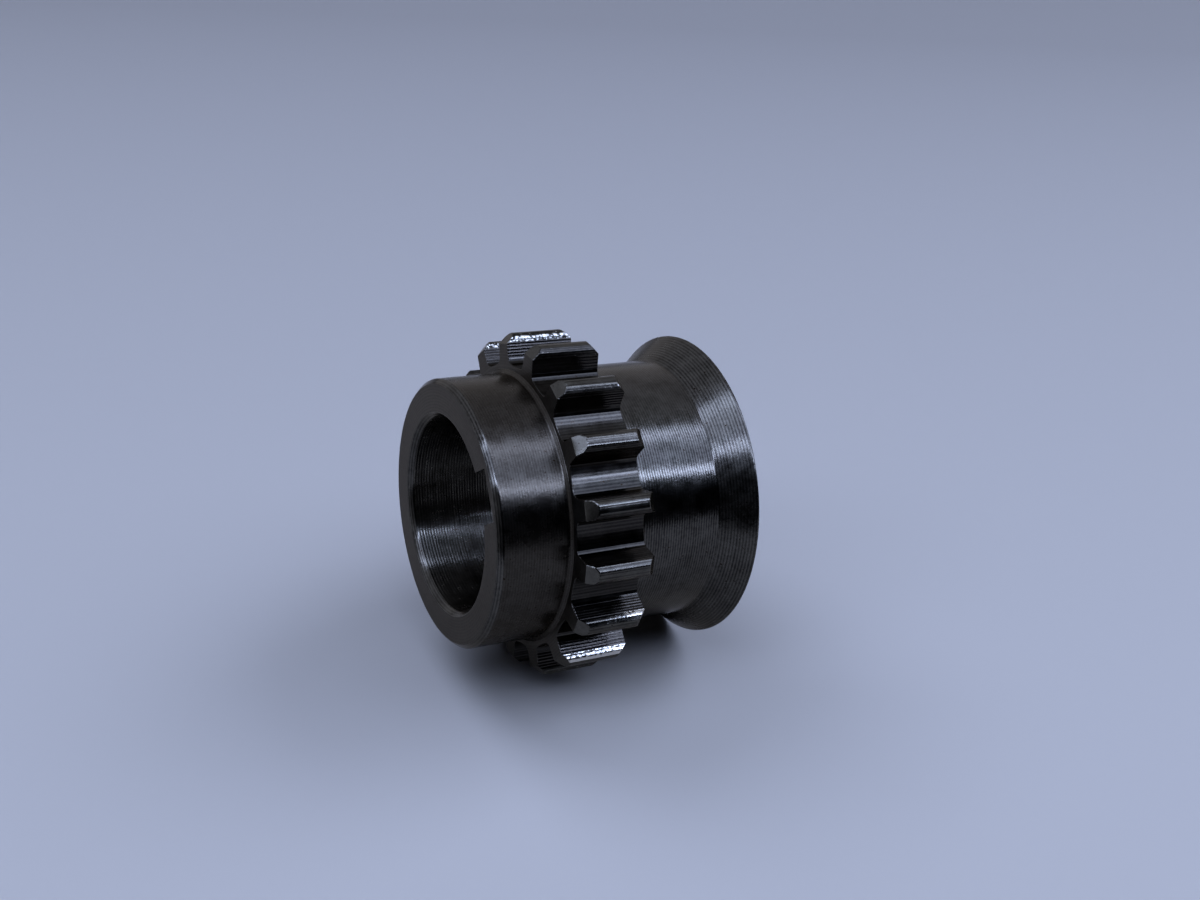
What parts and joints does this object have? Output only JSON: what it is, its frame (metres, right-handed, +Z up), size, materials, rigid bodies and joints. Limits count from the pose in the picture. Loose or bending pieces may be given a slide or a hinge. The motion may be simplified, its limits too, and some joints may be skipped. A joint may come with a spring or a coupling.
{
  "type": "crankshaft sprocket",
  "caption": "One-piece steel timing sprocket: rounded chain teeth between a plain collar and a hub that flares into a flange, bored and keyed for a crankshaft nose.",
  "frame": {"origin": "on the bore axis, in the middle plane of the teeth", "axes": "+X along the bore from the collar to the flange, +Z up, -Y towards the viewer of the picture; a tooth is at the top and a gap at the bottom, and the keyway lies under the third gap from the top on the -Y side"},
  "size_m": [0.0402, 0.052, 0.0519],
  "materials": {
    "blued_steel": "blued near black, lathe feed marks on the turned faces, bright burrs on the tooth tips"
  },
  "bodies": {
    "root": {"sprocket": "blued_steel"}
  },
  "joints": []
}
